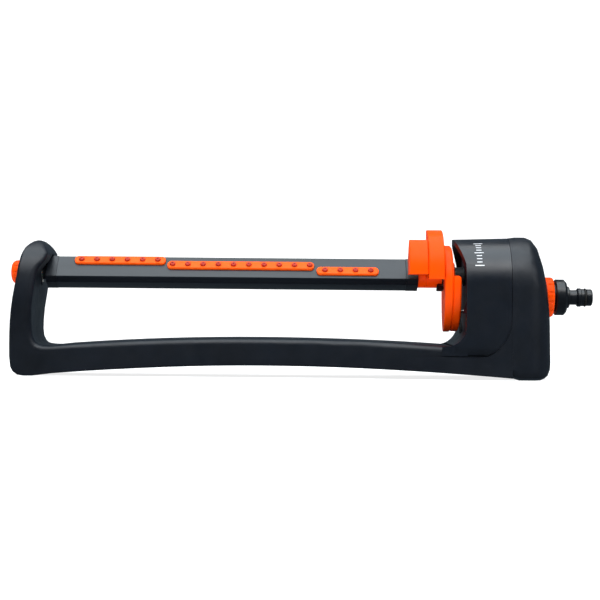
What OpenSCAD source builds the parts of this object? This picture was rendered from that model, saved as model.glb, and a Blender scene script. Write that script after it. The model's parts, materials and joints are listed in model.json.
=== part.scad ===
// Oscillating lawn sprinkler: a spray bar swung by a small reversing water motor,
// carried in a moulded base with a hose nipple at its right end.
// Frame: origin on the ground below the middle of the sprinkler, +X along the spray
// bar towards the hose nipple, +Y to the back, +Z up. Millimetres.

/* [View] */
// Which sub-part to show

/* [Base] */
// Height of the spray bar axis above the ground
tube_z = 94.6; // [85:0.1:105]
// Height of the hose inlet axis above the ground
inlet_z = 75.5; // [70:0.1:80]
// Height of the drum centre above the ground
drum_z = 82.6; // [80:0.1:86]
// Wall thickness of the base moulding
base_wall = 3.0; // [2:0.1:4]
// Half width of the base ribbon between its ends
ribbon_half = 34; // [28:1:44]
// Half width of the base at the drum
drum_half = 45.6; // [44:0.1:47]

/* [Spray bar] */
// Tilt of the spray bar towards the front at rest, in degrees
tube_tilt = 45; // [0:1:50]
// Left end of the spray bar
tube_left = -226.3; // [-228:0.1:-220]
// Right end of the spray bar
tube_right = 96.2; // [90:0.1:98]
// Number of spray nozzles
nozzle_count = 20; // [16:1:20]
// Distance between neighbouring nozzles
nozzle_pitch = 14.1; // [13.5:0.05:14.2]
// Diameter of the spray hole in each nozzle
nozzle_hole = 1.2; // [0.8:0.1:1.6]

/* [Range levers] */
// Outer radius of the first range lever
lever_a_radius = 41; // [36:0.5:42]
// Outer radius of the second range lever
lever_b_radius = 42.3; // [36:0.1:43]

/* [Hose inlet] */
// Outer diameter of the connector ridge on the hose nipple
nipple_ridge_d = 17.2; // [16.5:0.1:17.5]
// Outer diameter of the nipple tip
nipple_tip_d = 15.5; // [15:0.1:16]
// Number of grip notches on the flow ring
ring_notches = 14; // [8:1:20]

/* [Gears] */
// Gear module
gear_module = 0.8; // [0.75:0.01:0.8]
// Teeth on each small pinion
pinion_teeth = 10; // [10:1:10]
// Teeth on the layshaft wheel
wheel_teeth = 30; // [30:1:30]
// Teeth on the output gear
output_teeth = 40; // [40:1:40]

/* [Hidden] */

$fn = 64;
lay_y = 14.92;
lay_z = 81.28;
pressure_angle = 25;
screw_x = [152, 180];
black = [0.06, 0.065, 0.08];
orange = [1.0, 0.36, 0.03];

// Shapes along the X axis ---------------------------------------------------

// Turns a drawing in (Y, Z) into a bar along X from x0 to x1
module along_x(x0, x1) {
  translate([x0, 0, 0])
    rotate([90, 0, 90])
      linear_extrude(height = x1 - x0)
        children();
}

// Turns a drawing in (X, Z) into a slab of the given width across Y
module across_y(width) {
  rotate([90, 0, 0])
    linear_extrude(height = width, center = true)
      children();
}

// Round bar along X about an axis at height z and depth y
module rod(x0, x1, r, z = 0, y = 0) {
  translate([x0, y, z])
    rotate([0, 90, 0])
      cylinder(h = x1 - x0, r = r);
}

// Revolves a drawing in (radius, X) about the X axis at height z
module turned(z) {
  translate([0, 0, z])
    rotate([90, 0, 90])
      rotate_extrude()
        children();
}

// Square-cut ring along X
module ring(x0, x1, r_in, r_out, z) {
  turned(z)
    translate([r_in, x0])
      square([r_out - r_in, x1 - x0]);
}

// Rubber ring of round section
module o_ring(x, r_mid, r_section, z) {
  turned(z)
    translate([r_mid, x])
      circle(r = r_section, $fn = 24);
}

// Part turn of a drawing in (radius, X) about the spray bar axis; angles run from straight
// up towards the front
module wing(a0, a1) {
  translate([0, 0, tube_z])
    rotate([90, 0, 90])
      rotate([0, 0, 90 + a0])
        rotate_extrude(angle = a1 - a0)
          children();
}

// Places children in the spray bar's own tilted frame
module at_tube() {
  translate([0, 0, tube_z])
    rotate([tube_tilt, 0, 0])
      children();
}

// Base moulding -------------------------------------------------------------

function clamp01(v) = min(1, max(0, v));
function ease(v) = let (c = clamp01(v)) c * c * (3 - 2 * c);

// Upper and lower edge and half width of the ribbon at x
function ribbon_top(x) = 35.8 - (x < -37 ? 8.3 * pow((x + 37) / 195, 2) : 5.1 * pow((x + 37) / 167, 2));
function ribbon_low(x) = max(0, 10.8 * (1 - pow((x + 37) / (x < -37 ? 200 : 248), 2)));
function ribbon_width(x) = ribbon_half + (drum_half - ribbon_half) * ease((x - 10) / 115);

// Stations up the left leg: inner x, inner z, outer x, outer z, half width
leg = [
  [-241.9, 124.0, -243.9, 124.1, 8], [-239.6, 122.9, -246.6, 122.9, 16],
  [-237.0, 120.6, -249.6, 120.4, 23], [-233.9, 116.8, -252.6, 116.8, 29],
  [-231.6, 112.3, -254.4, 112.3, 34], [-231.9, 108.5, -255.4, 108.5, 37],
  [-233.4, 104.6, -256.0, 104.6, 39.4], [-236.3, 100.6, -256.8, 100.6, 41.4],
  [-238.9, 96.6, -257.1, 96.6, 43], [-240.4, 91, -257.7, 91, 44.6],
  [-241.8, 81, -259.4, 81, 46], [-243.3, 71, -261.1, 71, 46.2],
  [-244.6, 61, -262.7, 61, 44.5], [-245, 50, -264.1, 50, 41.5],
  [-244.8, 42, -264.8, 40, 39.5], [-243.9, 35.5, -265.1, 29, 38.2],
  [-241.6, 31, -265.1, 17.5, 37.6], [-239.2, 28.9, -264.1, 8.2, 37.5],
  [-236.6, 28.2, -261.8, 3.8, 37.3], [-233.8, 27.8, -257.8, 1, 37.1],
  [-230.5, 27.6, -252.2, 0, 36.8], [-226, 27.6, -245, 0, 36.3]];

ribbon = [for (x = [-215 : 22.4 : 188])
  [x, ribbon_top(x), x - 12 * ease((-130 - x) / 90), ribbon_low(x), ribbon_width(x)]];

stations = concat(leg, ribbon);

// Half of the outer edge of a channel section, as [across, depth], and its inner twin.
// The edges turn in by lips that close the leg down to a fine parting line.
function half_out(w, t, r, lip) = concat(
  [[lip, t], [w - min(1.6, r / 3), t], [w, t - min(1.8, r / 2)]],
  [for (a = [0 : 22.5 : 90]) [w - r + r * cos(a), r - r * sin(a)]]);
function half_in(w, t, r, k, lip) = let (q = max(0.15, r - k), c = min(0.6, t * 0.1)) concat(
  [[lip, t - k], [w - k - c, t - k], [w - k, t - k - c]],
  [for (a = [0 : 22.5 : 90]) [w - k - q + q * cos(a), k + q - q * sin(a)]]);
function mirrored(half) = [for (i = [len(half) - 1 : -1 : 0]) [-half[i][0], half[i][1]]];
function back_to_front(list) = [for (i = [len(list) - 1 : -1 : 0]) list[i]];

// One closed channel section at a station, as points in space
function channel(s) =
  let (
    dx = s[2] - s[0],
    dz = s[3] - s[1],
    t = sqrt(dx * dx + dz * dz),
    k = min(base_wall, t * 0.3),
    r = min(6, t * 0.42, s[4] * 0.6),
    lip = s[2] < -240 ? 0.15 : s[4] - k - 1.4,
    outer = half_out(s[4], t, r, lip),
    inner = half_in(s[4], t, r, k, lip),
    loop = concat(outer, mirrored(outer), back_to_front(concat(inner, mirrored(inner)))))
  [for (p = loop) [s[0] + dx / t * p[1], p[0], s[1] + dz / t * p[1]]];

// Sweeps the channel section through every station
module ribbon_moulding() {
  rings = [for (s = stations) channel(s)];
  n = len(rings[0]);
  half = n / 2;
  count = len(rings);
  last = (count - 1) * n;
  sides = [for (i = [0 : count - 2]) for (j = [0 : n - 1])
    let (a = i * n + j, b = i * n + (j + 1) % n, c = b + n, d = a + n)
    each [[a, c, b], [a, d, c]]];
  caps = [for (j = [0 : half - 2])
    let (a = j, b = j + 1, c = n - 2 - j, d = n - 1 - j)
    each [[a, c, d], [a, b, c], [last + a, last + c, last + b], [last + a, last + d, last + c]]];
  polyhedron(points = [for (s = rings) each s], faces = concat(sides, caps), convexity = 8);
}

// Where the right end sweeps forward under the drum, in (X, Z)
module sweep_outline(gap) {
  polygon([[192, 63], [190 + gap, 62], [188.8 + gap, 48], [185 + gap, 38], [179.6 + gap, 30],
    [174 + gap, 25 - gap], [168.6, 21.6 - gap], [162, 20.6 - gap], [158, 12], [192, 12]]);
}

// Arch-shaped slice: half width, top, foot half width and bottom
module arch(w, top, foot, low) {
  polygon(concat(
    [for (a = [0 : 7.5 : 180]) [w * cos(a), top - w + w * sin(a)]],
    [[-foot, low + 8], [-foot + 2, low + 2], [-foot + 6, low],
     [foot - 6, low], [foot - 2, low + 2], [foot, low + 8]]));
}

// Thin arch slice standing at x, or a thicker one
module arch_at(x, w, top, foot, low, thick = 0.1) {
  along_x(x, x + thick)
    arch(w, top, foot, low);
}

// Rounded right end of the base, which closes the drum
module right_end() {
  hull() {
    arch_at(190.1, 47.2, 129.8, 50.6, 2);
    arch_at(197, 48.2, 130.8, 51.4, 0, 9);
    arch_at(211.4, 47.0, 128.6, 50.4, 0);
    arch_at(216.4, 44.4, 122.2, 47.5, 0.2);
    arch_at(221, 39.4, 109, 43, 1.8);
    arch_at(224.2, 34.5, 95.5, 38.5, 4);
    arch_at(226.6, 28.5, 75, 33, 7.5);
    arch_at(227.6, 17, 46, 24, 13);
  }
}

// Outline of the top of the leg, used to trim the bearing cup to the hood
module hood_outline() {
  polygon([[-262, 70], [-243.2, 70], [-241.6, 82], [-240.2, 91.5], [-238.6, 97], [-236, 101],
    [-233.1, 105], [-231.6, 109], [-231.4, 112], [-234, 117], [-237.2, 120.9], [-250, 118], [-262, 90]]);
}

module base_frame() {
  color(black)
    difference() {
      union() {
        ribbon_moulding();
        intersection() {
          rod(-243.6, -228, 19.4, tube_z);
          across_y(60)
            hood_outline();
        }
        rod(-257.4, -240.5, 12, tube_z);
      }
      // pocket for the end of the spray bar, and the bearing bore
      rod(-240.4, -225, 16.9, tube_z);
      rod(-258, -239, 9.02, tube_z);
      for (x = screw_x)
        for (side = [-1, 1])
          translate([x, side * 30, 18])
            cylinder(h = 14, r = 1.8, $fn = 32);
    }
}

// Side cheeks of the end housing, which run forward below the drum and fade out along the ribbon
module cheeks() {
  difference() {
    intersection() {
      hull() {
        along_x(95, 95.1) polygon([[-44.15, 0], [44.15, 0], [44.15, 64], [-44.15, 64]]);
        along_x(150, 150.1) polygon([[-49.7, 0], [49.7, 0], [46.6, 64], [-46.6, 64]]);
        along_x(180, 180.1) polygon([[-50.1, 0], [50.1, 0], [46.9, 64], [-46.9, 64]]);
        along_x(190.4, 190.5) polygon([[-50.9, 0], [50.9, 0], [48, 64], [-48, 64]]);
      }
      across_y(120)
        polygon([[190.8, 63], [190.3, 62], [189.1, 48], [185.3, 38], [179.9, 30], [174.3, 24.7],
          [168.6, 21.3], [162, 20.6], [100, 20.6], [95, 16], [95, 8], [110, 7.2], [127, 6.2], [150, 4.8],
          [170, 3.4], [190.8, 1.8]]);
    }
    // inner face, which follows the side of the ribbon
    translate([0, 0, -1])
      linear_extrude(height = 80)
        polygon(concat(
          [for (x = [90 : 5 : 125]) [x, -ribbon_width(x) - 0.3]],
          [[192, -45.95], [192, 45.95]],
          [for (x = [125 : -5 : 90]) [x, ribbon_width(x) + 0.3]]));
  }
}

module end_housing() {
  color(black)
    difference() {
      union() {
        right_end();
        cheeks();
      }
      // motor space, inlet bore and the seat of the flow ring
      rod(189, 208, 41.8, drum_z);
      rod(207, 219.5, 24, inlet_z);
      rod(219, 232, 11.08, inlet_z);
      rod(222.5, 236, 18.9, inlet_z);
      // hollow foot
      translate([193, -41, -1])
        cube([23, 82, 31]);
    }
}

// Drum and its covers -------------------------------------------------------

// How far the lip of the drum stands back at the depth y: least at the top, most at the sides
function rim_x(y) = 139.5 + 9.3 * pow(min(1, abs(y) / 40), 2);

module drum_shell() {
  color(black)
    difference() {
      union() {
        hull() {
          arch_at(138.2, drum_half, drum_z + drum_half, 48.8, 21, 2);
          arch_at(182, drum_half, drum_z + drum_half, 49.3, 21);
          arch_at(189.6, drum_half + 1.6, drum_z + drum_half + 1.6, 50.2, 21);
        }
        across_y(2 * 48)
          polygon(concat(
            [[150.2, 21.5], [127, 21.5], [127, 29.6]],
            [for (a = [-90 : 7.5 : 0]) [130.3 + 18.5 * cos(a), 48.5 + 18.5 * sin(a)]],
            [[150.2, 48.5]]));
      }
      // curved lip at the open left end, with a fillet down to the skirt
      translate([0, 0, 59.9])
        linear_extrude(height = 80)
          polygon(concat([[120, -56]], [for (y = [-56 : 4 : 56]) [rim_x(y), y]], [[120, 56]]));
      translate([120, -60, 48.5])
        cube([28.8, 120, 11.5]);
      across_y(120)
        polygon(concat(
          [[125, 29.6], [127, 29.6]],
          [for (a = [-90 : 7.5 : 0]) [130.3 + 18.5 * cos(a), 48.5 + 18.5 * sin(a)]],
          [[148.8, 48.6], [125, 48.6]]));
      // lower right corners, taken by the cheeks of the base
      for (side = [-1, 1])
        translate([0, side * (45.65 + 10), 0])
          across_y(20)
            sweep_outline(0);
      // front corners of the skirt run out to nothing
      for (side = [0, 1])
        mirror([0, side, 0])
          translate([0, 0, 10])
            linear_extrude(height = 60)
              polygon([[120, 46.35], [127, 46.35], [149, 49.6], [149, 60], [120, 60]]);
      // open mouth, motor space, bearing bore
      rod(136, 151, 41.6, drum_z);
      rod(154, 191, 42, drum_z);
      rod(150, 155, 9.62, tube_z);
      // seat over the ribbon
      translate([120, -46.2, 0])
        cube([80, 92.4, 31.3]);
      for (x = screw_x)
        for (side = [-1, 1])
          translate([x, side * 30, 30])
            cylinder(h = 9.4, r = 1.64, $fn = 32);
    }
}

module motor_cover() {
  color(orange)
    difference() {
      union() {
        // disc, whose left face slopes back from the front edge
        difference() {
          turned(drum_z)
            polygon([[0, 129.8], [38.2, 129.8], [39.5, 130.4], [40, 131.6], [40, 136.4], [39.3, 137.2],
              [38.4, 137.4], [38.4, 138], [0, 138]]);
          translate([0, 0, 30])
            linear_extrude(height = 110)
              polygon([[120, -60], [129.8, -60], [129.8, -39], [133.4, 41], [133.4, 60], [120, 60]]);
        }
        intersection() {
          turned(drum_z)
            polygon([[0, 137.8], [38.6, 137.8], [39.5, 138.6], [39.5, 143.8], [38.6, 144.8],
              [36.8, 145.2], [0, 145.2]]);
          across_y(90)
            polygon([[137, 40], [146, 40], [146, 90.2], [144.8, 92.6], [142.4, 94.2], [137, 94.2]]);
        }
        rod(133.5, 141.4, 12, tube_z);
      }
      // hollow back, with stiffening ribs round the hub
      difference() {
        rod(139.2, 149.5, 36.4, drum_z);
        rod(139, 141.4, 12, tube_z);
        for (a = [0 : 60 : 300])
          translate([139, 0, tube_z])
            rotate([a, 0, 0])
              translate([0, -0.8, 10])
                cube([1.6, 1.6, 50]);
      }
      rod(129, 151, 8.4, tube_z);
      rod(129, 134.4, 1.55, 82.84, -6);
    }
}

module stop_lug() {
  color(black)
    union() {
      wing(130, 176)
        polygon([[11.75, 125.6], [12.4, 124.9], [14, 124.9], [14.6, 125.6], [14.6, 130.7], [11.75, 130.7]]);
      rod(130.5, 134.2, 1.5, 82.84, -6);
    }
}

// Water motor ---------------------------------------------------------------

function involute(a) = tan(a) * 180 / PI - a;

// Spur gear outline with one tooth centred on the first axis
module gear_outline(teeth) {
  r = gear_module * teeth / 2;
  base = r * cos(pressure_angle);
  tip = r + 0.8 * gear_module;
  root = r - 1.05 * gear_module;
  half = 90 / teeth - 0.09 / r * 180 / PI / 2 + involute(pressure_angle);
  start = max(base, root);
  flank = [for (i = [0 : 4])
    let (p = start + (tip - start) * i / 4)
    [p, half - involute(acos(min(1, base / p)))]];
  tooth = concat(
    [[root, flank[0][1] + 1.2]],
    flank,
    [for (i = [4 : -1 : 0]) [flank[i][0], -flank[i][1]]],
    [[root, -flank[0][1] - 1.2]]);
  polygon([for (k = [0 : teeth - 1])
    for (i = [len(tooth) - 1 : -1 : 0])
      let (a = k * 360 / teeth + tooth[i][1])
      [tooth[i][0] * cos(a), tooth[i][0] * sin(a)]]);
}

// Spur gear about an axis along X, turned so that a tooth points at the given angle
module gear(x0, x1, teeth, bore, y, z, turn) {
  translate([0, y, z])
    along_x(x0, x1)
      difference() {
        rotate([0, 0, turn])
          gear_outline(teeth);
        circle(r = bore);
      }
}

// Direction from the turbine axis to the layshaft, and from the layshaft to the spray bar axis
turn_1 = atan2(lay_z - inlet_z, lay_y);
turn_2 = atan2(tube_z - lay_z, -lay_y);

module gearbox_case() {
  color([0.25, 0.26, 0.28])
    difference() {
      union() {
        rod(156, 186, 38, drum_z);
        rod(154.2, 157, 12, tube_z);
      }
      rod(158.5, 187, 35.4, drum_z);
      rod(153, 160, 9.62, tube_z);
      rod(157, 160, 1.5, inlet_z);
      rod(157, 160, 1.55, lay_z, lay_y);
    }
}

module gearbox_lid() {
  color([0.25, 0.26, 0.28])
    difference() {
      union() {
        rod(186.05, 189, 38, drum_z);
        rod(184.6, 187, 35.3, drum_z);
        rod(188, 208, 7.8, inlet_z);
      }
      rod(184, 186.04, 32.8, drum_z);
      rod(186, 209, 5, inlet_z);
      rod(186, 187.6, 1.55, lay_z, lay_y);
    }
}

module spindle_bush() {
  color([0.85, 0.85, 0.8])
    ring(151.9, 158.4, 8.06, 9.6, tube_z);
}

module spindle_oring() {
  color([0.05, 0.05, 0.05])
    o_ring(150.9, 8.82, 0.74, tube_z);
}

module turbine_wheel() {
  color([0.9, 0.9, 0.86])
    translate([0, 0, inlet_z])
      difference() {
        union() {
          rod(174, 183, 3.6);
          rod(176, 177.4, 9);
          for (a = [0 : 30 : 330])
            translate([176, 0, 0])
              rotate([a, 0, 0])
                translate([0, -0.6, 3])
                  cube([6.8, 1.2, 9.6]);
        }
        rod(173, 184, 1.47);
      }
}

module turbine_pinion() {
  color([0.8, 0.62, 0.25])
    gear(168, 172, pinion_teeth, 1.47, 0, inlet_z, turn_1);
}

module turbine_shaft() {
  color([0.75, 0.76, 0.78])
    rod(157.1, 185.4, 1.45, inlet_z);
}

module layshaft_gear() {
  color([0.92, 0.9, 0.84])
    union() {
      gear(168, 171.6, wheel_teeth, 1.6, lay_y, lay_z, turn_1 + 180 + 180 / wheel_teeth);
      gear(160, 168, pinion_teeth, 1.6, lay_y, lay_z, turn_2);
    }
}

module layshaft_pin() {
  color([0.75, 0.76, 0.78])
    rod(157.1, 187.5, 1.53, lay_z, lay_y);
}

module output_gear() {
  color([0.92, 0.9, 0.84])
    gear(161, 166, output_teeth, 8.02, 0, tube_z, turn_2 + 180 + 180 / output_teeth);
}

module output_spindle() {
  color([0.3, 0.31, 0.33])
    difference() {
      rod(101, 166.8, 8, tube_z);
      rod(100, 168, 5, tube_z);
    }
}

module jet_plate() {
  color([0.55, 0.56, 0.58])
    translate([0, 0, inlet_z])
      difference() {
        rod(183.6, 186, 13.6);
        rod(183, 187, 1.52);
        for (a = [30 : 60 : 330])
          rotate([a, 0, 0])
            rod(183, 187, 1.3, 10.5);
      }
}

module trip_lever() {
  color([0.9, 0.9, 0.86])
    difference() {
      union() {
        rod(141, 146, 4, 62);
        translate([142, -2, 62])
          cube([3, 4, 16]);
        translate([142, -11, 54])
          cube([3, 22, 4.5]);
        translate([142, -2.5, 56])
          cube([3, 5, 6]);
      }
      rod(140, 147, 1.56, 62);
    }
}

module trip_pin() {
  color([0.75, 0.76, 0.78])
    rod(140.9, 150.9, 1.5, 62);
}

module trip_spring() {
  color([0.7, 0.71, 0.73])
    translate([0, 0, 62])
      union() {
        turned(0)
          translate([6.2, 147.4])
            circle(r = 0.5, $fn = 24);
        for (a = [-35, 35])
          translate([147.4, 0, 0])
            rotate([a, 0, 0])
              translate([0, 0, 6.2])
                cylinder(h = 12, r = 0.42, $fn = 24);
      }
}

// Hose inlet ----------------------------------------------------------------

module inlet_nipple() {
  ridge = nipple_ridge_d / 2;
  tip = nipple_tip_d / 2;
  color([0.05, 0.05, 0.06])
    turned(inlet_z)
      polygon([
        [5, 209], [9, 209], [9, 232.7], [12.6, 232.7], [12.6, 234.9], [16, 234.9],
        [16.6, 235.5], [16.6, 243], [14.2, 245.2], [10, 245.2], [10, 247.6], [9.4, 248.2],
        [6.85, 248.6], [6.85, 255], [ridge - 0.6, 255.7], [ridge, 256.3], [ridge, 258.7],
        [ridge - 0.5, 259.3], [8, 259.4], [8, 261.6], [6.8, 261.9], [6.8, 264.3], [tip, 264.5],
        [tip, 268.4], [tip - 0.5, 269.3], [tip - 1.4, 269.7], [5, 269.7]]);
}

module nipple_oring() {
  color([0.03, 0.03, 0.03])
    o_ring(263.1, 7.7, 0.88, inlet_z);
}

module inlet_filter() {
  color([0.8, 0.8, 0.78])
    difference() {
      turned(inlet_z)
        polygon([[4, 240], [4.9, 240], [4.9, 242], [4.3, 242], [4.3, 262], [0, 262], [0, 260.8],
          [3.4, 260.8], [3.4, 241], [4, 241]]);
      for (x = [244 : 3 : 259])
        for (a = [0, 60, 120])
          translate([x, 0, inlet_z])
            rotate([a, 0, 0])
              cylinder(h = 12, r = 0.9, center = true, $fn = 20);
    }
}

module inlet_seal() {
  color([0.05, 0.05, 0.05])
    ring(208.05, 208.95, 5.2, 8.6, inlet_z);
}

module flow_ring() {
  color(orange)
    difference() {
      union() {
        turned(inlet_z)
          polygon([[9.06, 212], [11, 212], [11, 222.8], [17.6, 222.8], [18.5, 223.8], [18.5, 231],
            [17.6, 232.6], [16, 233.1], [13.2, 233.1], [13.2, 232.2], [9.06, 232.2]]);
      }
      for (i = [0 : ring_notches - 1])
        translate([227.2, 0, inlet_z])
          rotate([i * 360 / ring_notches, 0, 0])
            translate([0, 0, 19.4])
              rotate([0, 90, 0])
                cylinder(h = 12, r = 1.9, $fn = 24);
    }
}

module flow_valve() {
  color([0.3, 0.31, 0.33])
    difference() {
      ring(212, 215, 11.02, 20, inlet_z);
      for (a = [0 : 90 : 270])
        translate([211, 0, inlet_z])
          rotate([a, 0, 0])
            translate([0, -3, 14])
              cube([5, 6, 3.5]);
    }
}

// Spray bar -----------------------------------------------------------------

// Cross-section of the spray bar grown outwards by g
module bar_outline(g) {
  polygon([
    [-12.9 - g, 8.4 + g], [12.9 + g, 8.4 + g], [13.6 + g, 7.6 + g * 0.6], [14.2 + g, 2.4], [14.1 + g, 1.4],
    [8.6 + g * 0.9, -11.4 - g * 0.6], [7.7 + g * 0.8, -12.2 - g], [-7.7 - g * 0.8, -12.2 - g],
    [-8.6 - g * 0.9, -11.4 - g * 0.6], [-14.1 - g, 1.4], [-14.2 - g, 2.4], [-13.6 - g, 7.6 + g * 0.6]]);
}

// Place across the flat top of the bar of each strip
row_left = 7.2;
row_middle = 1.6;
row_right = -4.6;

function strip_y(i) = i < 6 ? row_left : i < 16 ? row_middle : row_right;
function nozzle_x(i) = -204.3 + nozzle_pitch * i;

// Long strip with rounded ends lying on the spray bar
module strip_shape(x0, x1, y, half, z0, z1) {
  translate([0, y, z0])
    linear_extrude(height = z1 - z0)
      polygon(concat(
        [for (a = [-90 : 15 : 90]) [x1 - half * 0.7 + half * 0.7 * cos(a), half * sin(a)]],
        [for (a = [90 : 15 : 270]) [x0 + half * 0.7 + half * 0.7 * cos(a), half * sin(a)]]));
}

module strip(x0, x1, y, first, last) {
  color([1.0, 0.42, 0.1])
    at_tube()
      difference() {
        union() {
          strip_shape(x0, x1, y, 4.8, 7.42, 9.8);
          strip_shape(x0 + 0.5, x1 - 0.5, y, 4.3, 9.7, 10.4);
        }
        for (i = [first : last])
          translate([nozzle_x(i), y, 7])
            cylinder(h = 4, r = 1.55, $fn = 32);
      }
}

module strip_left() {
  strip(-210.9, -126.4, row_left, 0, 5);
}

module strip_middle() {
  strip(-124.6, 11.3, row_middle, 6, 15);
}

module strip_right() {
  strip(13.6, 71, row_right, 16, nozzle_count - 1);
}

module nozzles() {
  color([0.9, 0.2, 0.02])
    at_tube()
      for (i = [0 : nozzle_count - 1])
        translate([nozzle_x(i), strip_y(i), 0])
          rotate_extrude($fn = 32)
            polygon([[nozzle_hole / 2, 5.6], [2.3, 5.6], [2.3, 6.36], [1.5, 6.36], [1.5, 10.44], [2.7, 10.44],
              [2.7, 10.9], [2.2, 11.9], [1.4, 12.3], [nozzle_hole / 2, 12.3]]);
}

module spray_tube() {
  color(black)
    at_tube()
      difference() {
        along_x(tube_left, tube_right)
          difference() {
            bar_outline(0);
            bar_outline(-2);
          }
        strip_shape(-211.5, -125.9, row_left, 5.3, 7.4, 9);
        strip_shape(-125.1, 11.8, row_middle, 5.3, 7.4, 9);
        strip_shape(13.1, 71.6, row_right, 5.3, 7.4, 9);
        for (i = [0 : nozzle_count - 1])
          translate([nozzle_x(i), strip_y(i), 6])
            cylinder(h = 4, r = 1.55, $fn = 32);
      }
}

module tube_cap_left() {
  color(black)
    difference() {
      union() {
        at_tube() {
          along_x(-235.9, tube_left - 0.15)
            bar_outline(0.25);
          along_x(tube_left - 1, -219)
            bar_outline(-2.1);
        }
        rod(-257.4, -235, 6.55, tube_z);
      }
      rod(-258, -236, 4.5, tube_z);
      rod(-237, -218, 3.5, tube_z);
    }
}

module tube_cap_right() {
  color(black)
    difference() {
      at_tube() {
        along_x(tube_right + 0.15, 107.3)
          bar_outline(0.25);
        along_x(89, tube_right + 1)
          bar_outline(-2.1);
      }
      rod(88, 102, 5, tube_z);
      rod(101, 108, 8.02, tube_z);
    }
}

module pivot_bush() {
  color([0.88, 0.88, 0.84])
    ring(-257.4, -240.5, 6.6, 9, tube_z);
}

module cleaning_plug() {
  color(orange)
    difference() {
      union() {
        turned(tube_z)
          polygon([[0, -269.6], [4.6, -269.5], [7.6, -268.8], [9.6, -267.5], [10.7, -265.6], [11, -263.6],
            [11, -261.2], [10.2, -259.9], [4.4, -259.9],
            [4.4, -258], [4.4, -250], [3.4, -250], [3.4, -247.8], [4.4, -247.8], [4.4, -240], [0, -240]]);
      }
      for (a = [0 : 30 : 330])
        translate([-268.4, 0, tube_z])
          rotate([a, 0, 0])
            translate([0, 0, 11.5])
              rotate([0, 90, 0])
                cylinder(h = 12, r = 1.1, $fn = 20);
      rod(-241.5, -239, 0.9, tube_z);
    }
}

module cleaning_needle() {
  color([0.75, 0.76, 0.78])
    turned(tube_z)
      polygon([[0, -241.4], [0.85, -241.4], [0.85, -222], [0.25, -216], [0, -216]]);
}

module plug_oring() {
  color([0.05, 0.05, 0.05])
    o_ring(-248.9, 3.93, 0.5, tube_z);
}

// Range levers --------------------------------------------------------------

module range_lever_a() {
  color(orange)
    difference() {
      union() {
        wing(38, 89)
          polygon([[17.2, 97.6], [lever_a_radius - 0.6, 97.6], [lever_a_radius, 98.2], [lever_a_radius, 114.2],
            [lever_a_radius - 0.6, 114.8], [9, 114.8], [9, 108], [17.2, 108]]);
        rod(107.7, 114.8, 11.4, tube_z);
      }
      rod(107, 116, 8.06, tube_z);
    }
}

module range_lever_b() {
  color(orange)
    difference() {
      union() {
        wing(-3, 95)
          polygon([[9, 115.1], [lever_b_radius - 0.6, 115.1], [lever_b_radius, 115.7], [lever_b_radius, 128.8],
            [lever_b_radius - 0.6, 129.4], [9, 129.4]]);
        rod(115.1, 129.4, 11.4, tube_z);
      }
      rod(114, 131, 8.06, tube_z);
    }
}

// Screws that hold the drum down on the base
module housing_screws() {
  color([0.72, 0.73, 0.75])
    for (x = screw_x)
      for (side = [-1, 1]) {
        head = ribbon_top(x) - base_wall - 0.6;
        translate([x, side * 30, 0])
          difference() {
            union() {
              translate([0, 0, head - 2.4])
                cylinder(h = 2.4, r = 3.4, $fn = 32);
              translate([0, 0, head - 1])
                cylinder(h = 39 - head, r = 1.6, $fn = 32);
            }
            translate([0, 0, head - 3])
              cylinder(h = 2, r = 1.5, $fn = 6);
          }
      }
}

base_frame();
end_housing();
drum_shell();
motor_cover();
stop_lug();
gearbox_case();
gearbox_lid();
spindle_bush();
spindle_oring();
turbine_wheel();
turbine_pinion();
turbine_shaft();
layshaft_gear();
layshaft_pin();
output_gear();
output_spindle();
jet_plate();
trip_lever();
trip_pin();
trip_spring();
inlet_nipple();
nipple_oring();
inlet_filter();
inlet_seal();
flow_ring();
flow_valve();
spray_tube();
tube_cap_left();
tube_cap_right();
strip_left();
strip_middle();
strip_right();
nozzles();
pivot_bush();
cleaning_plug();
cleaning_needle();
plug_oring();
range_lever_a();
range_lever_b();
housing_screws();
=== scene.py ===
"""Oscillating lawn sprinkler: materials, fine detail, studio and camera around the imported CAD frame."""

import json
import math

import bmesh
import bpy
from mathutils import Matrix, Vector


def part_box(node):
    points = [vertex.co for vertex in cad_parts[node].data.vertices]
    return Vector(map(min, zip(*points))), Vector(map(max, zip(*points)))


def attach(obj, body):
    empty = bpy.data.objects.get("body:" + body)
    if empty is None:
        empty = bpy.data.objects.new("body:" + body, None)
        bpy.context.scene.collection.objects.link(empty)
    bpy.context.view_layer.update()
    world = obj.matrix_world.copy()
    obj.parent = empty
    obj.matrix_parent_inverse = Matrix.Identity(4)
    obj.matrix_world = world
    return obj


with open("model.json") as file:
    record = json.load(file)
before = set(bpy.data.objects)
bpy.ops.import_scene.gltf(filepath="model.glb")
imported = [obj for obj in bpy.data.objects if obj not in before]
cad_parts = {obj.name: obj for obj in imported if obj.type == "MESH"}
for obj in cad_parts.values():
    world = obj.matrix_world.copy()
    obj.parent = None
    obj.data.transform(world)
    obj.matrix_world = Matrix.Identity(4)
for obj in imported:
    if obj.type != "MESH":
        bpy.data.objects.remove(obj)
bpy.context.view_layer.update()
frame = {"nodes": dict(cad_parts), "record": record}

MM = 0.001


# Materials -----------------------------------------------------------------

# noise scales, in cells per metre
MOTTLE_SCALE = 45
PATCH_SCALE = 76.5
WAVE_SCALE = 70
SCUFF_SCALE = 260
GRAIN_SCALE = 2600
# depths of the two bumps and reach of the light that soaks in, in metres
GRAIN_DEPTH = 0.0002
WAVE_DEPTH = 0.001
SOAK_DEPTH = 0.002


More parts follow.
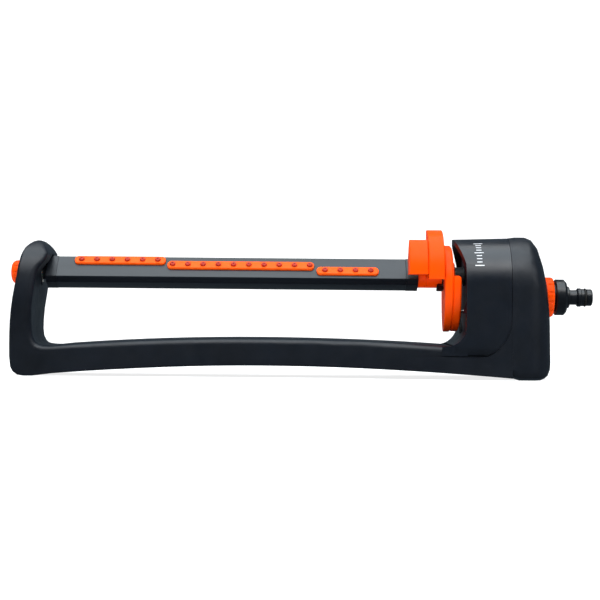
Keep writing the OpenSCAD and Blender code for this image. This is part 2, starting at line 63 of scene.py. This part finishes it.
def node(tree, kind, place, **inputs):
    """A shader node with some inputs set; an underscore stands for the space in an input's name."""
    made = tree.nodes.new(kind)
    made.location = place
    for name, value in inputs.items():
        made.inputs[name.replace("_", " ")].default_value = value
    return made


def mottled(tree, where, color, shade):
    """Broad, cloudy colour change from the flow of the moulding, as a colour socket."""
    cloud = node(tree, "ShaderNodeTexNoise", (-900, 300), Scale=MOTTLE_SCALE, Detail=4, Roughness=0.6)
    tree.links.new(where, cloud.inputs["Vector"])
    ramp = node(tree, "ShaderNodeValToRGB", (-700, 300))
    low, high = ramp.color_ramp.elements
    low.position, high.position = 0.3, 0.72
    low.color = (*[c * (1 - shade) for c in color], 1)
    high.color = (*[min(1, c * (1 + shade * 0.8)) for c in color], 1)
    tree.links.new(cloud.outputs["Fac"], ramp.inputs["Fac"])
    return ramp.outputs["Color"]


def scuffed(tree, where, tint, color, wear):
    """The tint with thin, paler scuffs over it, as a colour socket."""
    scratch = node(tree, "ShaderNodeTexNoise", (-900, 0), Scale=SCUFF_SCALE, Detail=6, Roughness=0.75,
                   Distortion=1.6)
    tree.links.new(where, scratch.inputs["Vector"])
    scuff = node(tree, "ShaderNodeValToRGB", (-700, 0))
    start, full = scuff.color_ramp.elements
    start.position, full.position = 0.63, 0.74
    tree.links.new(scratch.outputs["Fac"], scuff.inputs["Fac"])
    fade = node(tree, "ShaderNodeMath", (-520, 60))
    fade.operation = "MULTIPLY"
    fade.inputs[1].default_value = wear
    tree.links.new(scuff.outputs["Color"], fade.inputs[0])
    mix = node(tree, "ShaderNodeMix", (-300, 300))
    mix.data_type = "RGBA"
    # a colour Mix takes its factor at input 0 and its colours at 6 and 7, and gives the result at output 2
    tree.links.new(fade.outputs[0], mix.inputs[0])
    tree.links.new(tint, mix.inputs[6])
    mix.inputs[7].default_value = (*[min(1, c * 0.7 + 0.12) for c in color], 1)
    return mix.outputs[2]


def uneven_gloss(tree, where, rough):
    """Roughness that wanders a little with handling, as a value socket."""
    patch = node(tree, "ShaderNodeTexNoise", (-900, -260), Scale=PATCH_SCALE, Detail=5, Roughness=0.65)
    tree.links.new(where, patch.inputs["Vector"])
    gloss = node(tree, "ShaderNodeMapRange", (-700, -260), From_Min=0.3, From_Max=0.7,
                 To_Min=rough * 0.86, To_Max=min(1, rough * 1.18))
    tree.links.new(patch.outputs["Fac"], gloss.inputs["Value"])
    return gloss.outputs["Result"]


def grained(tree, where, grain):
    """Eroded-mould grain over a very slight waviness, as a normal socket."""
    fine = node(tree, "ShaderNodeTexNoise", (-900, -520), Scale=GRAIN_SCALE, Detail=3, Roughness=0.6)
    tree.links.new(where, fine.inputs["Vector"])
    wave = node(tree, "ShaderNodeTexNoise", (-900, -760), Scale=WAVE_SCALE, Detail=2)
    tree.links.new(where, wave.inputs["Vector"])
    bump = node(tree, "ShaderNodeBump", (-480, -520), Strength=grain, Distance=GRAIN_DEPTH)
    tree.links.new(fine.outputs["Fac"], bump.inputs["Height"])
    swell = node(tree, "ShaderNodeBump", (-260, -620), Strength=0.05, Distance=WAVE_DEPTH)
    tree.links.new(wave.outputs["Fac"], swell.inputs["Height"])
    tree.links.new(bump.outputs["Normal"], swell.inputs["Normal"])
    return swell.outputs["Normal"]


def moulded(name, color, rough, shade=0.25, grain=0.06, wear=0.0, subsurface=0.0, metallic=0.0,
            brushed=None, specular=0.5):
    """Moulded plastic, rubber or metal.

    shade is how far the colour wanders and wear how much the scuffs show, both from 0 to 1.
    brushed stretches the pattern: a factor below 1 along an axis draws it out that way.
    """
    mat = bpy.data.materials.new(name)
    mat.use_nodes = True
    mat.diffuse_color = (*color, 1)
    tree = mat.node_tree
    bsdf = tree.nodes["Principled BSDF"]
    bsdf.inputs["Metallic"].default_value = metallic
    bsdf.inputs["Specular IOR Level"].default_value = specular
    bsdf.inputs["Subsurface Weight"].default_value = subsurface
    bsdf.inputs["Subsurface Scale"].default_value = SOAK_DEPTH
    surface = node(tree, "ShaderNodeTexCoord", (-1300, 0)).outputs["Object"]
    pattern = surface
    if brushed:
        stretch = node(tree, "ShaderNodeMapping", (-1100, 250), Scale=brushed)
        tree.links.new(surface, stretch.inputs["Vector"])
        pattern = stretch.outputs["Vector"]
    tint = mottled(tree, pattern, color, shade)
    if wear:
        tint = scuffed(tree, surface, tint, color, wear)
    tree.links.new(tint, bsdf.inputs["Base Color"])
    tree.links.new(uneven_gloss(tree, pattern, rough), bsdf.inputs["Roughness"])
    tree.links.new(grained(tree, pattern, grain), bsdf.inputs["Normal"])
    return mat


# colours are linear; see moulded() for the rest
FINISHES = {
    "base_plastic": dict(color=(0.0036, 0.0056, 0.0100), rough=0.42, wear=0.03, grain=0.20, specular=0.32),
    "drum_plastic": dict(color=(0.0030, 0.0048, 0.0090), rough=0.33, wear=0.03, grain=0.16, specular=0.42),
    "bar_plastic": dict(color=(0.0034, 0.0052, 0.0090), rough=0.32, wear=0.03, grain=0.08, specular=0.42,
                        brushed=(0.06, 1, 1)),
    "cap_plastic": dict(color=(0.0034, 0.0050, 0.0084), rough=0.38, wear=0.03, grain=0.15, specular=0.38),
    "fitting_plastic": dict(color=(0.0020, 0.0028, 0.0048), rough=0.34, wear=0.03, grain=0.15,
                            specular=0.42),
    "orange_plastic": dict(color=(0.90, 0.067, 0.0003), rough=0.36, shade=0.07, grain=0.12,
                           subsurface=0.02, specular=0.07),
    "strip_plastic": dict(color=(0.92, 0.100, 0.005), rough=0.42, shade=0.07, grain=0.14,
                          subsurface=0.03, specular=0.09),
    "nozzle_rubber": dict(color=(0.40, 0.018, 0.001), rough=0.5, shade=0.1, grain=0.2,
                          subsurface=0.05, specular=0.3),
    "grey_plastic": dict(color=(0.07, 0.075, 0.08), rough=0.45, wear=0.2, grain=0.2),
    "acetal": dict(color=(0.78, 0.77, 0.71), rough=0.36, shade=0.06, grain=0.1, subsurface=0.1),
    "pinion_brass": dict(color=(0.78, 0.55, 0.22), rough=0.28, shade=0.15, metallic=1, brushed=(8, 1, 1)),
    "steel": dict(color=(0.60, 0.61, 0.63), rough=0.26, shade=0.12, metallic=1, brushed=(9, 1, 1)),
    "rubber": dict(color=(0.010, 0.010, 0.010), rough=0.62, grain=0.3, specular=0.2),
    "filter_plastic": dict(color=(0.72, 0.72, 0.68), rough=0.42, shade=0.08, grain=0.15),
    "print_grey": dict(color=(0.62, 0.63, 0.65), rough=0.5, shade=0.10, grain=0.1),
}
MATERIALS = {name: moulded(name, **finish) for name, finish in FINISHES.items()}


# CAD nodes -----------------------------------------------------------------

SMOOTH_BELOW = math.radians(32)   # edges that turn by less are shaded smooth
ROUND_ABOVE = math.radians(34)    # edges that turn by more are rounded
FLAT_BELOW = math.radians(0.6)    # faces that turn by less are joined before rounding
WELD_GAP = 2e-6                   # metres


def smoothing_group():
    """Geometry nodes that shade smooth and keep edges sharper than a limit."""
    group = bpy.data.node_groups.new("smooth_by_angle", "GeometryNodeTree")
    group.is_modifier = True
    group.interface.new_socket("Geometry", in_out="INPUT", socket_type="NodeSocketGeometry")
    limit = group.interface.new_socket("Limit", in_out="INPUT", socket_type="NodeSocketFloat")
    limit.default_value = SMOOTH_BELOW
    group.interface.new_socket("Geometry", in_out="OUTPUT", socket_type="NodeSocketGeometry")
    start = group.nodes.new("NodeGroupInput")
    end = group.nodes.new("NodeGroupOutput")
    angle = group.nodes.new("GeometryNodeInputMeshEdgeAngle")
    over = group.nodes.new("FunctionNodeCompare")
    over.data_type = "FLOAT"
    over.operation = "GREATER_THAN"
    faces = group.nodes.new("GeometryNodeSetShadeSmooth")
    faces.domain = "FACE"
    edges = group.nodes.new("GeometryNodeSetShadeSmooth")
    edges.domain = "EDGE"
    edges.inputs["Shade Smooth"].default_value = False
    link = group.links.new
    link(angle.outputs["Unsigned Angle"], over.inputs[0])
    link(start.outputs["Limit"], over.inputs[1])
    link(start.outputs["Geometry"], faces.inputs["Geometry"])
    link(faces.outputs["Geometry"], edges.inputs["Geometry"])
    link(over.outputs["Result"], edges.inputs["Selection"])
    link(edges.outputs["Geometry"], end.inputs["Geometry"])
    return group


SMOOTHING = smoothing_group()


def soften(obj, radius=0.0):
    """Joins the mesh, rounds its hard edges by radius (metres), and shades it smooth."""
    weld = obj.modifiers.new("weld", "WELD")
    weld.merge_threshold = WELD_GAP
    if radius:
        flat = obj.modifiers.new("flatten", "DECIMATE")
        flat.decimate_type = "DISSOLVE"
        flat.angle_limit = FLAT_BELOW
        round_off = obj.modifiers.new("round", "BEVEL")
        round_off.width = radius
        round_off.segments = 3
        round_off.limit_method = "ANGLE"
        round_off.angle_limit = ROUND_ABOVE
        round_off.miter_outer = "MITER_ARC"
        round_off.use_clamp_overlap = True
    smooth = obj.modifiers.new("smooth", "NODES")
    smooth.node_group = SMOOTHING
    weigh = obj.modifiers.new("weigh", "WEIGHTED_NORMAL")
    weigh.keep_sharp = True


# radius of the rounded edges, in millimetres; other nodes keep their CAD edges
ROUNDING = {"spray_tube": 0.5, "tube_cap_left": 0.4, "tube_cap_right": 0.4, "range_lever_a": 0.8,
            "range_lever_b": 0.8, "motor_cover": 0.4, "strip_left": 0.35, "strip_middle": 0.35,
            "strip_right": 0.35, "flow_ring": 0.3, "cleaning_plug": 0.3, "drum_shell": 0.9}


def dress(part):
    """Gives a CAD node the material of its slot and its softened edges."""
    obj = frame["nodes"][part["node"]]
    mat = MATERIALS[part["material_slot"]]
    if not obj.data.materials:
        obj.data.materials.append(mat)
    for place in obj.material_slots:
        place.material = mat
    soften(obj, ROUNDING.get(part["node"], 0.0) * MM)


for part in frame["record"]["subparts"]:
    dress(part)


# Fine detail ---------------------------------------------------------------

# The orange cover is centred on the drum's axis, and the marks are set from the drum's right edge.
cover_low, cover_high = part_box("motor_cover")
DRUM_Z = (cover_low[2] + cover_high[2]) / 2
MARKS_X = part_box("drum_shell")[1][0] - 28.7 * MM
DRUM_R = 46.27 * MM                # radius of the drum at the marks
DRUM_TAPER = math.radians(1.86)    # the drum widens to the right by this angle
MARKS = 9
LONG_EVERY = 4                     # the first mark and each fourth after it are long
FIRST_MARK = math.radians(27)      # above the level of the axis, towards the front
MARK_STEP = math.radians(4.5)
LONG_MARK = 8.4 * MM
SHORT_MARK = 4.8 * MM
MARK_WIDTH = 1.0 * MM
MARK_SUNK = 0.3 * MM               # each mark's depth in the drum's wall
MARK_PROUD = 0.08 * MM


def slab(bm, low, high, at):
    """Adds a box between two corners, placed by a matrix."""
    size = Vector(high) - Vector(low)
    middle = (Vector(high) + Vector(low)) / 2
    made = bmesh.ops.create_cube(bm, size=1)["verts"]
    bmesh.ops.transform(bm, matrix=at @ Matrix.Translation(middle) @ Matrix.Diagonal((*size, 1)), verts=made)


def piece(name, bm, material, body):
    """Turns a bmesh into a named object that rides on a body."""
    mesh = bpy.data.meshes.new(name)
    bm.to_mesh(mesh)
    bm.free()
    obj = bpy.data.objects.new(name, mesh)
    bpy.context.scene.collection.objects.link(obj)
    mesh.materials.append(MATERIALS[material])
    soften(obj)
    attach(obj, body)


def drum_marks():
    """Pale printed tick marks on the front of the drum, a plain scale with no lettering."""
    bm = bmesh.new()
    for i in range(MARKS):
        length = LONG_MARK if i % LONG_EVERY == 0 else SHORT_MARK
        from_top = math.radians(90) - (FIRST_MARK + i * MARK_STEP)
        at = (Matrix.Translation((MARKS_X, 0, DRUM_Z)) @ Matrix.Rotation(from_top, 4, "X")
              @ Matrix.Translation((0, 0, DRUM_R)) @ Matrix.Rotation(-DRUM_TAPER, 4, "Y"))
        slab(bm, (-length / 2, -MARK_WIDTH / 2, -MARK_SUNK), (length / 2, MARK_WIDTH / 2, MARK_PROUD), at)
    piece("drum_tick_marks", bm, "print_grey", "base")


drum_marks()


# Studio, in metres ---------------------------------------------------------

BACKDROP_SIDE = 4       # half of its width
FLOOR_FRONT = -3.5
CURVE_START = 1.2       # where the floor starts to curve up
CURVE_RADIUS = 0.8
WALL_TOP = 3.5


def link_object(name, data):
    """A new object in the scene, from a mesh, light or camera."""
    obj = bpy.data.objects.new(name, data)
    bpy.context.scene.collection.objects.link(obj)
    return obj


def backdrop_white():
    """An even white that glows, so that it shows nearly no shadow."""
    mat = bpy.data.materials.new("backdrop_white")
    mat.use_nodes = True
    bsdf = mat.node_tree.nodes["Principled BSDF"]
    bsdf.inputs["Base Color"].default_value = (0.38, 0.38, 0.38, 1)
    bsdf.inputs["Emission Color"].default_value = (1, 1, 1, 1)
    bsdf.inputs["Emission Strength"].default_value = 0.80
    bsdf.inputs["Roughness"].default_value = 0.9
    bsdf.inputs["Specular IOR Level"].default_value = 0.1
    return mat


def backdrop():
    """A pale floor that curves up into a wall behind the sprinkler."""
    turns = [math.radians(d) for d in range(6, 91, 6)]
    profile = [(FLOOR_FRONT, 0.0), (CURVE_START, 0.0)]
    profile += [(CURVE_START + CURVE_RADIUS * math.sin(a), CURVE_RADIUS - CURVE_RADIUS * math.cos(a))
                for a in turns]
    profile += [(CURVE_START + CURVE_RADIUS, WALL_TOP)]
    bm = bmesh.new()
    left, right = [[bm.verts.new((x, y, z)) for y, z in profile] for x in (-BACKDROP_SIDE, BACKDROP_SIDE)]
    for i in range(len(profile) - 1):
        bm.faces.new((left[i], right[i], right[i + 1], left[i + 1]))
    mesh = bpy.data.meshes.new("backdrop")
    bm.to_mesh(mesh)
    bm.free()
    mesh.shade_smooth()
    mesh.materials.append(backdrop_white())
    obj = link_object("backdrop", mesh)
    # the black plastic reflects the soft boxes and a dim room, as in a studio with flags
    obj.visible_glossy = False


def softbox(name, place, aim, size, power, tint=(1, 1, 1)):
    """A rectangular soft light aimed at a point; size is in metres and power in watts."""
    light = bpy.data.lights.new(name, "AREA")
    light.color = tint
    light.shape = "RECTANGLE"
    light.size, light.size_y = size
    light.energy = power
    obj = link_object(name, light)
    obj.location = place
    obj.rotation_euler = (Vector(aim) - Vector(place)).to_track_quat("-Z", "Y").to_euler()


def room():
    """Dim, slightly blue light from all around."""
    world = bpy.data.worlds.new("studio")
    world.use_nodes = True
    background = world.node_tree.nodes["Background"]
    background.inputs["Color"].default_value = (0.66, 0.85, 1.0, 1)
    background.inputs["Strength"].default_value = 0.16
    bpy.context.scene.world = world


def front_camera():
    """A camera square to the front, level with about the middle of the sprinkler, with a very slight roll."""
    data = bpy.data.cameras.new("camera")
    data.lens = 96.8
    data.sensor_width = 36
    data.clip_end = 20
    camera = link_object("camera", data)
    camera.matrix_world = (Matrix.Translation((-0.0015, -1.5, 0.0709))
                           @ Matrix.Rotation(math.radians(90), 4, "X")
                           @ Matrix.Rotation(math.radians(0.51), 4, "Z"))
    bpy.context.scene.camera = camera


backdrop()
softbox("overhead", place=(0.0, -0.15, 1.25), aim=(0, 0.02, 0.05), size=(1.7, 0.9), power=20,
        tint=(0.84, 0.94, 1.0))
softbox("front_high", place=(0.0, -1.0, 1.45), aim=(0, 0.0, 0.05), size=(2.2, 0.6), power=24)
softbox("left_key", place=(-1.3, -0.75, 0.9), aim=(0, 0, 0.08), size=(0.7, 0.7), power=6)
softbox("right_fill", place=(1.3, -0.8, 0.75), aim=(0, 0, 0.08), size=(0.6, 0.6), power=4)
softbox("wall_wash", place=(0.0, 0.7, 1.9), aim=(0, 2.0, 0.6), size=(2.4, 0.8), power=25)
room()
front_camera()
bpy.context.scene.view_settings.view_transform = "Standard"
